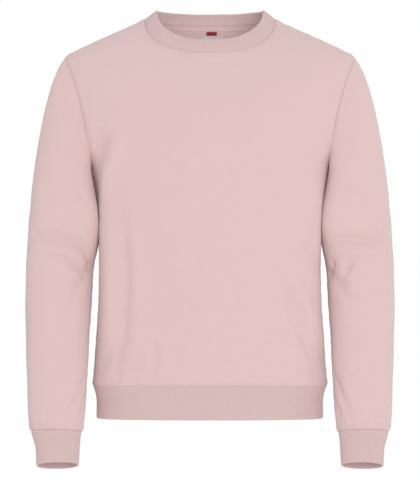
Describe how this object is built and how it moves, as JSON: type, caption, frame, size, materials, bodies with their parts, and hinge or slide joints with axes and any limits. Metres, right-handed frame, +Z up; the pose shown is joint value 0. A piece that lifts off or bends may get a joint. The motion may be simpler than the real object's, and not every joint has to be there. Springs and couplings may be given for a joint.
{
  "type": "crewneck sweatshirt",
  "caption": "Long-sleeved crewneck sweatshirt filled out as worn, hollow, with set-in sleeves, ribbed collar, cuffs and hem, and open neck, wrists and bottom.",
  "frame": {"origin": "midway between the two shoulder seams, level with them just outside the neck", "axes": "+X to the wearer's left, -Y to the front, +Z up"},
  "size_m": [0.6344, 0.226, 0.786],
  "materials": {
    "fleece": "matte brushed sweatshirt knit, pale dusty pink",
    "rib": "matte rib knit, pale dusty pink",
    "tape": "matte twill tape, pale dusty pink",
    "red_label": "plain woven label, red",
    "pale_label": "plain woven label, pale grey"
  },
  "bodies": {
    "root": {"front_panel": "fleece", "back_panel": "fleece", "sleeve_left": "fleece", "sleeve_right": "fleece", "collar_rib": "rib", "hem_rib": "rib", "cuff_left": "rib", "cuff_right": "rib", "neck_tape": "tape", "label_tab": "red_label", "size_label": "pale_label"}
  },
  "joints": []
}
